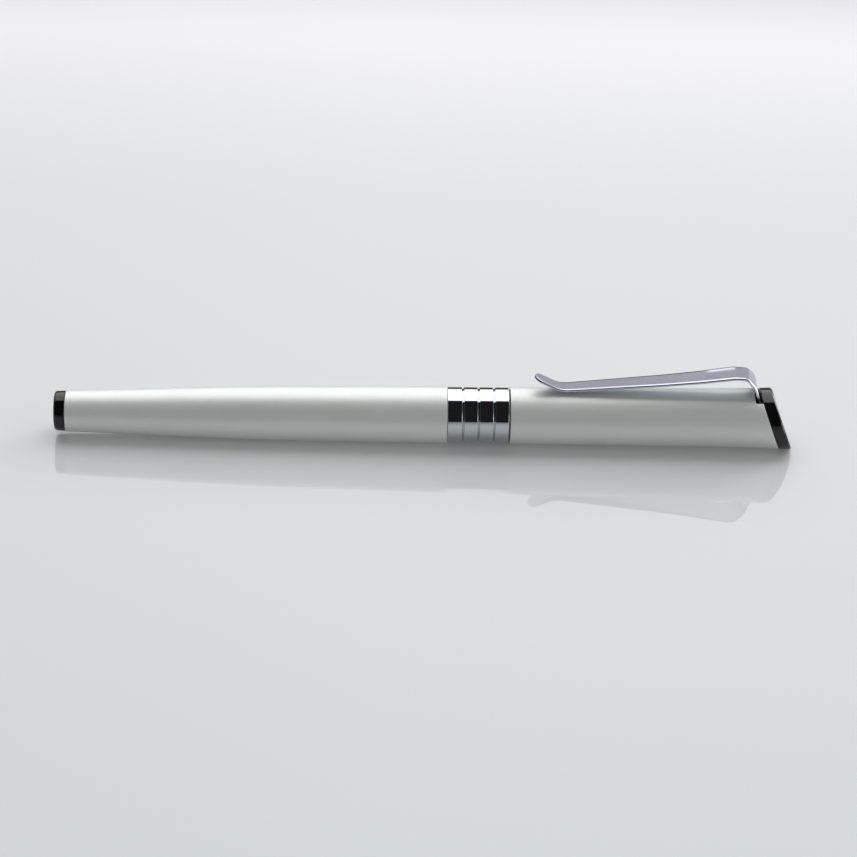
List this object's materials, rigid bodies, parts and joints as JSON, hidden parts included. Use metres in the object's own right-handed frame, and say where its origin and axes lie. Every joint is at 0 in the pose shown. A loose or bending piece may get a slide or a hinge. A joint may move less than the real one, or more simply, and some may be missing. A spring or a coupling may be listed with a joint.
{
  "type": "capped technical pen",
  "caption": "Slim capped technical pen: tapered satin silver barrel, banded chrome centre ring, slanted black cap end, spring clip, and a tubular nib on an ink cartridge.",
  "frame": {"origin": "centre of the barrel's flat end face", "axes": "+X along the pen towards the slanted cap end, +Z towards the pocket clip, +Y across"},
  "size_m": [0.1379, 0.0116, 0.0153],
  "materials": {
    "satin_silver": "satin pearl silver lacquer over metal",
    "bright_chrome": "polished chrome plate",
    "gloss_black": "glossy black moulding",
    "black_plastic": "satin black moulding",
    "natural_nylon": "natural nylon",
    "stainless": "drawn stainless steel",
    "brass": "turned brass",
    "seal_rubber": "soft black rubber",
    "clear_plastic": "clear bottle plastic, slightly smoky",
    "width_code_red": "coloured moulding, plain"
  },
  "bodies": {
    "section": {"grip_section": "black_plastic", "ink_feed": "black_plastic", "feed_oring": "seal_rubber", "line_width_ring": "width_code_red", "nib_collar": "stainless", "nib_body": "black_plastic", "nib_tube": "stainless", "weight_retainer": "natural_nylon"},
    "drop_weight": {"drop_weight": "brass", "cleaning_wire": "stainless"},
    "centre_ring": {"centre_ring": "bright_chrome"},
    "barrel": {"barrel_tube": "satin_silver", "barrel_end_plug": "gloss_black", "cartridge_buffer_pad": "seal_rubber", "barrel_thread_bush": "brass"},
    "cartridge": {"cartridge_body": "clear_plastic", "cartridge_ball": "stainless"},
    "snap_ring": {"snap_ring": "natural_nylon"},
    "cap": {"cap_tube": "satin_silver", "cap_finial": "gloss_black", "cap_liner": "natural_nylon", "spring_seat": "black_plastic", "seal_spring": "stainless", "clip_wedge": "stainless"},
    "seal_cup": {"seal_cup": "seal_rubber"},
    "clip": {"pocket_clip": "bright_chrome"}
  },
  "joints": [
    {"name": "barrel_turn", "type": "hinge", "parent": "section", "child": "centre_ring", "pos_m": [0.07305, 0, 0], "axis": [-1, 0, 0], "range_deg": [0, 1080]},
    {"name": "barrel_draw", "type": "slide", "parent": "centre_ring", "child": "barrel", "axis": [-1, 0, 0], "range_m": [0, 0.065]},
    {"name": "cartridge_pull", "type": "slide", "parent": "section", "child": "cartridge", "axis": [-1, 0, 0], "range_m": [0, 0.008]},
    {"name": "weight_drop", "type": "slide", "parent": "section", "child": "drop_weight", "axis": [-1, 0, 0], "range_m": [0, 0.0015]},
    {"name": "cap_turn", "type": "hinge", "parent": "section", "child": "snap_ring", "pos_m": [0.089, 0, 0], "axis": [1, 0, 0], "continuous": true},
    {"name": "cap_pull", "type": "slide", "parent": "snap_ring", "child": "cap", "axis": [1, 0, 0], "range_m": [0, 0.045]},
    {"name": "clip_flex", "type": "hinge", "parent": "cap", "child": "clip", "pos_m": [0.131, 0, 0.0046], "axis": [0, 1, 0], "range_deg": [0, 6], "stiffness_Nm_per_rad": 0.02},
    {"name": "seal_press", "type": "slide", "parent": "cap", "child": "seal_cup", "axis": [1, 0, 0], "range_m": [0, 0.001], "stiffness_N_per_m": 10}
  ]
}
